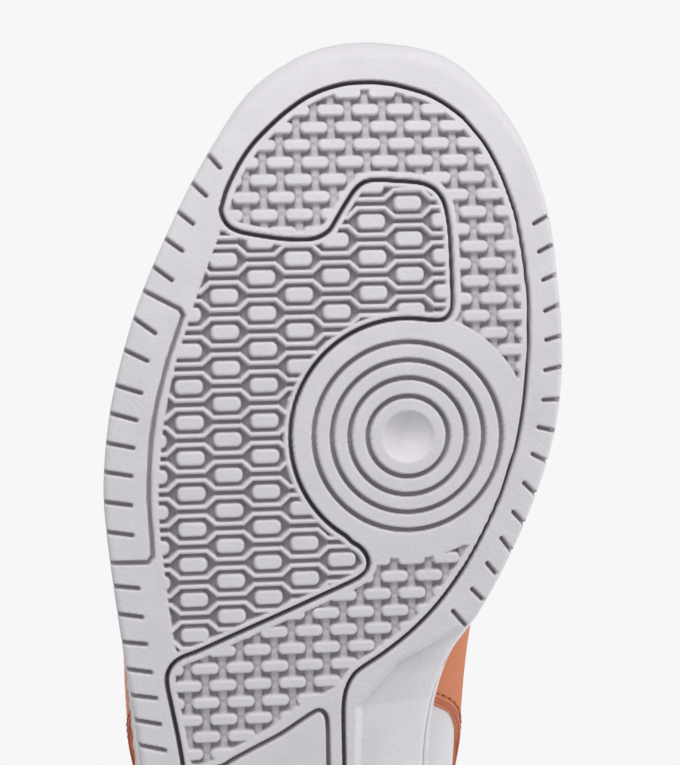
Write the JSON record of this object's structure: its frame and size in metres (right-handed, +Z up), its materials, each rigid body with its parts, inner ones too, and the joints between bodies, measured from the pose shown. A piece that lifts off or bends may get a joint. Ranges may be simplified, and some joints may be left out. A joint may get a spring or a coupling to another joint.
{
  "type": "court shoe",
  "caption": "Low laced court shoe for the right foot: stitched cup sole with a patterned tread and round turning disc, layered leather upper, padded collar and folding tongue.",
  "frame": {"origin": "on the ground under the sole, half way along its length, on the line that halves the forefoot's width", "axes": "+X to the toe, +Y to the inner (medial) side of the foot, +Z up, away from the ground"},
  "size_m": [0.3027, 0.1144, 0.1262],
  "materials": {
    "rubber_white": "moulded, matt, fine pebble grain",
    "foam": "closed-cell foam",
    "thread": "waxed polyester thread",
    "board": "stitched non-woven board",
    "sockliner": "knitted top cloth on foam",
    "leather_white": "smooth full grain, soft sheen",
    "leather_orange": "smooth full grain, soft sheen",
    "stiffener": "thermoformed sheet",
    "lining": "knitted mesh",
    "lace": "flat woven"
  },
  "bodies": {
    "shoe": {"outsole": "rubber_white", "cup_sidewall": "rubber_white", "midsole_foam": "foam", "sidewall_stitching": "thread", "strobel_board": "board", "sockliner": "sockliner", "vamp": "leather_white", "toe_overlay": "leather_orange", "heel_overlay": "leather_orange", "heel_tab": "leather_orange", "toe_puff": "stiffener", "heel_counter": "stiffener", "vamp_lining": "lining", "collar_foam": "foam", "collar_lining": "lining", "quarter_medial": "leather_white", "saddle_medial": "leather_orange", "eyestay_medial": "leather_orange", "eyestay_backing_medial": "stiffener", "side_backing_medial": "foam", "quarter_lining_medial": "lining", "quarter_lateral": "leather_white", "saddle_lateral": "leather_orange", "eyestay_lateral": "leather_orange", "eyestay_backing_lateral": "stiffener", "side_backing_lateral": "foam", "quarter_lining_lateral": "lining", "tongue_face": "leather_white", "tongue_foam": "foam", "tongue_backing": "lining", "lace": "lace"},
    "tongue_top": {"tongue_top_face": "leather_white", "tongue_top_foam": "foam", "tongue_top_backing": "lining"}
  },
  "joints": [
    {"name": "tongue_fold", "type": "hinge", "parent": "shoe", "child": "tongue_top", "pos_m": [-0.025, -0.0045, 0.0982], "axis": [0, 1, 0], "range_deg": [-8, 50], "stiffness_Nm_per_rad": 0.1}
  ]
}
